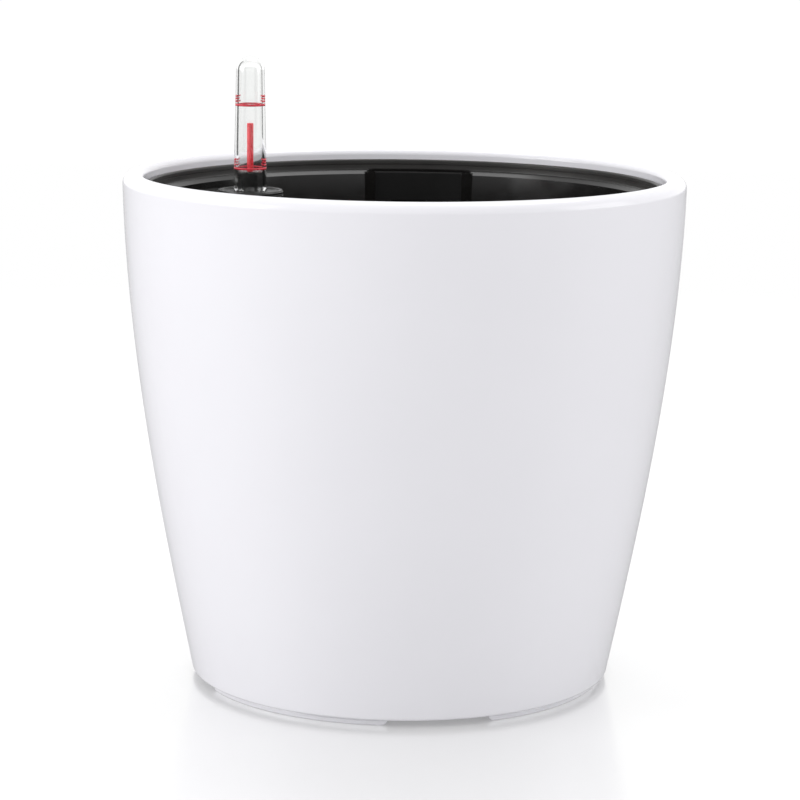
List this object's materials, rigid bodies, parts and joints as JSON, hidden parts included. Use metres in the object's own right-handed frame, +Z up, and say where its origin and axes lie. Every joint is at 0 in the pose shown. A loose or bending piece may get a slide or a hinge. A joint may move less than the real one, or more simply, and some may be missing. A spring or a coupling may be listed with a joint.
{
  "type": "self watering planter",
  "caption": "Round tapered plant pot with a lift-out liner, wicks dipping into a water reservoir, and a float gauge with a clear domed cap.",
  "frame": {"origin": "centre of the pot's footprint, on the surface it stands on", "axes": "+Z up along the pot's centre line; -Y is the front, with the gauge at the back left; +X to the right"},
  "size_m": [0.254, 0.254, 0.2809],
  "materials": {
    "pot": "high gloss white",
    "plug": "satin black",
    "seal": "soft black rubber",
    "liner": "semi-gloss black, moulded",
    "handle": "satin black",
    "separator": "dull dark grey",
    "shaft": "satin black",
    "cup": "satin black",
    "wick": "off-white needled felt",
    "gauge": "semi-gloss black",
    "cap": "clear polished acrylic with red marks",
    "float": "closed-cell foam",
    "rod": "glossy red",
    "float_trim": "natural white plastic"
  },
  "bodies": {
    "pot": {"outer_pot": "pot"},
    "plug_seal": {"drain_seal": "seal"},
    "plug": {"drain_plug": "plug"},
    "liner": {"liner": "liner", "supply_shaft": "shaft", "shaft_strainer": "separator", "wick_cup_1": "cup", "wick_cup_2": "cup", "wick_cup_3": "cup", "wick_1": "wick", "wick_2": "wick", "wick_3": "wick"},
    "back_handle": {"handle_back": "handle"},
    "front_handle": {"handle_front": "handle"},
    "separator": {"separator": "separator"},
    "gauge": {"gauge_flange": "gauge", "flange_gasket": "seal", "gauge_tube": "gauge", "gauge_foot": "gauge", "rod_guide": "float_trim", "gauge_cap": "cap"},
    "float": {"float_body": "float", "float_rod": "rod", "float_clip": "float_trim"}
  },
  "joints": [
    {"name": "liner_lift", "type": "slide", "parent": "pot", "child": "liner", "axis": [0, 0, 1], "range_m": [0, 0.235]},
    {"name": "plug_lift", "type": "slide", "parent": "pot", "child": "plug_seal", "axis": [0, 0, 1], "range_m": [0, 0.009]},
    {"name": "plug_turn", "type": "hinge", "parent": "plug_seal", "child": "plug", "pos_m": [0, 0, 0.012], "axis": [0, 0, 1], "range_deg": [0, 1081]},
    {"name": "separator_lift", "type": "slide", "parent": "liner", "child": "separator", "axis": [0, 0, 1], "range_m": [0, 0.175]},
    {"name": "back_handle_pull", "type": "slide", "parent": "liner", "child": "back_handle", "axis": [0, 0, 1], "range_m": [0, 0.044]},
    {"name": "front_handle_pull", "type": "slide", "parent": "liner", "child": "front_handle", "axis": [0, 0, 1], "range_m": [0, 0.044]},
    {"name": "gauge_lift", "type": "slide", "parent": "liner", "child": "gauge", "axis": [0, 0, 1], "range_m": [0, 0.215]},
    {"name": "float_rise", "type": "slide", "parent": "gauge", "child": "float", "axis": [0, 0, 1], "range_m": [-0.0208, 0.0086]}
  ],
  "couplings": [
    {"joint": "plug_turn", "follows": "plug_lift", "rad_per_m": 2094.4}
  ]
}
